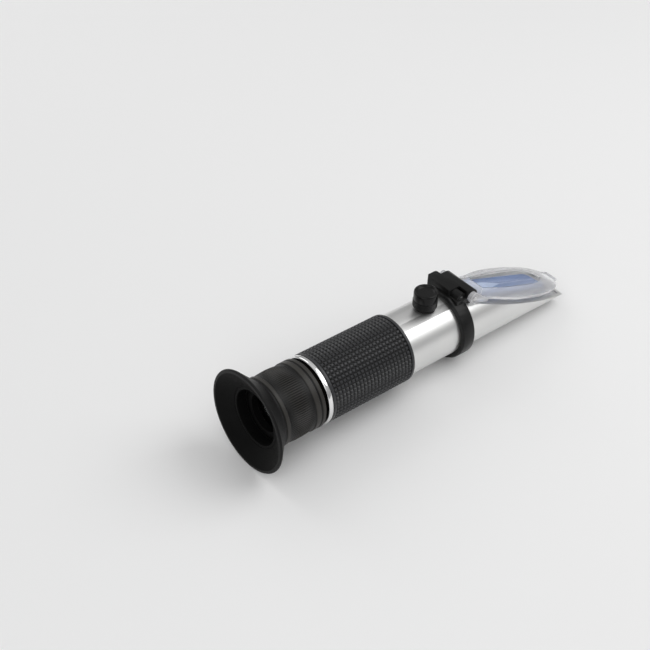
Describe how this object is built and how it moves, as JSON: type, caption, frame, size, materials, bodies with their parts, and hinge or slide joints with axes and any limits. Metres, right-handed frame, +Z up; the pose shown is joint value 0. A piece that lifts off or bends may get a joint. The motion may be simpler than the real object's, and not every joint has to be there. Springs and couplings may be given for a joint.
{
  "type": "refractometer",
  "caption": "Hand-held optical refractometer: metal barrel with a slanted prism nose under a hinged clear cover, calibration knob, rubber grip and focusing eyepiece with a flared eyecup.",
  "frame": {"origin": "on the optical axis, at the middle of the bare barrel between the grip and the hinge band", "axes": "+X along the optical axis from the eyepiece to the nose, +Z up on the cover's side"},
  "size_m": [0.1548, 0.04, 0.04],
  "materials": {
    "satin_aluminium": "satin",
    "polished_chrome": "polished",
    "black_coated_metal": "semi-gloss",
    "bright_steel": "satin",
    "turned_brass": "satin",
    "black_rubber": "matt",
    "black_plastic": "satin",
    "grey_plastic": "satin",
    "blue_glass": "polished",
    "clear_glass": "polished",
    "clear_plastic": "polished"
  },
  "bodies": {
    "barrel": {"main_tube": "satin_aluminium", "rubber_grip": "black_rubber", "trim_ring": "polished_chrome", "hinge_band": "black_coated_metal", "band_screw": "bright_steel", "hinge_pin": "bright_steel", "prism": "blue_glass", "prism_seat": "black_plastic", "prism_seal": "black_rubber", "front_baffle": "black_plastic", "rear_baffle": "black_plastic", "screw_bush": "turned_brass", "knob_gasket": "black_rubber", "carrier_pivots": "bright_steel", "return_spring": "bright_steel", "eyepiece_sleeve": "turned_brass", "guide_pin": "bright_steel", "reticle": "clear_glass", "reticle_ring": "turned_brass"},
    "lens_carrier": {"lens_carrier": "black_plastic", "objective_lens": "clear_glass", "objective_ring": "turned_brass"},
    "thrust_pad": {"thrust_pad": "bright_steel"},
    "calibration_knob": {"calibration_knob": "black_plastic", "calibration_screw": "turned_brass"},
    "eyepiece_cell": {"lens_cell": "black_plastic", "eye_lens": "clear_glass", "field_lens": "clear_glass", "lens_spacer": "black_plastic", "field_ring": "turned_brass", "cell_retainer": "black_plastic"},
    "focus_ring": {"focus_ring": "grey_plastic", "eyecup": "black_rubber"},
    "cover_plate": {"cover_plate": "clear_plastic"}
  },
  "joints": [
    {"name": "cover_swing", "type": "hinge", "parent": "barrel", "child": "cover_plate", "pos_m": [0.0207, 0, 0.0138], "axis": [0, -1, 0], "range_deg": [0, 120]},
    {"name": "pad_travel", "type": "slide", "parent": "barrel", "child": "thrust_pad", "axis": [0, 0, 1], "range_m": [-0.0005, 0.0005]},
    {"name": "knob_turn", "type": "hinge", "parent": "thrust_pad", "child": "calibration_knob", "pos_m": [0.0037, 0, 0.0197], "axis": [0, 0, 1], "range_deg": [-360, 360]},
    {"name": "carrier_tilt", "type": "hinge", "parent": "barrel", "child": "lens_carrier", "pos_m": [-0.015, 0, 0], "axis": [0, 1, 0], "range_deg": [-1.54, 1.54], "deforming": ["return_spring"]},
    {"name": "eyepiece_slide", "type": "slide", "parent": "barrel", "child": "eyepiece_cell", "axis": [1, 0, 0], "range_m": [-0.0025, 0.00085]},
    {"name": "focus_turn", "type": "hinge", "parent": "eyepiece_cell", "child": "focus_ring", "pos_m": [-0.062, 0, 0], "axis": [1, 0, 0], "range_deg": [-225, 75]}
  ],
  "couplings": [
    {"joint": "knob_turn", "follows": "pad_travel", "rad_per_m": 12566},
    {"joint": "carrier_tilt", "follows": "pad_travel", "rad_per_m": -53.476},
    {"joint": "eyepiece_slide", "follows": "focus_turn", "m_per_rad": 0.00063662}
  ]
}
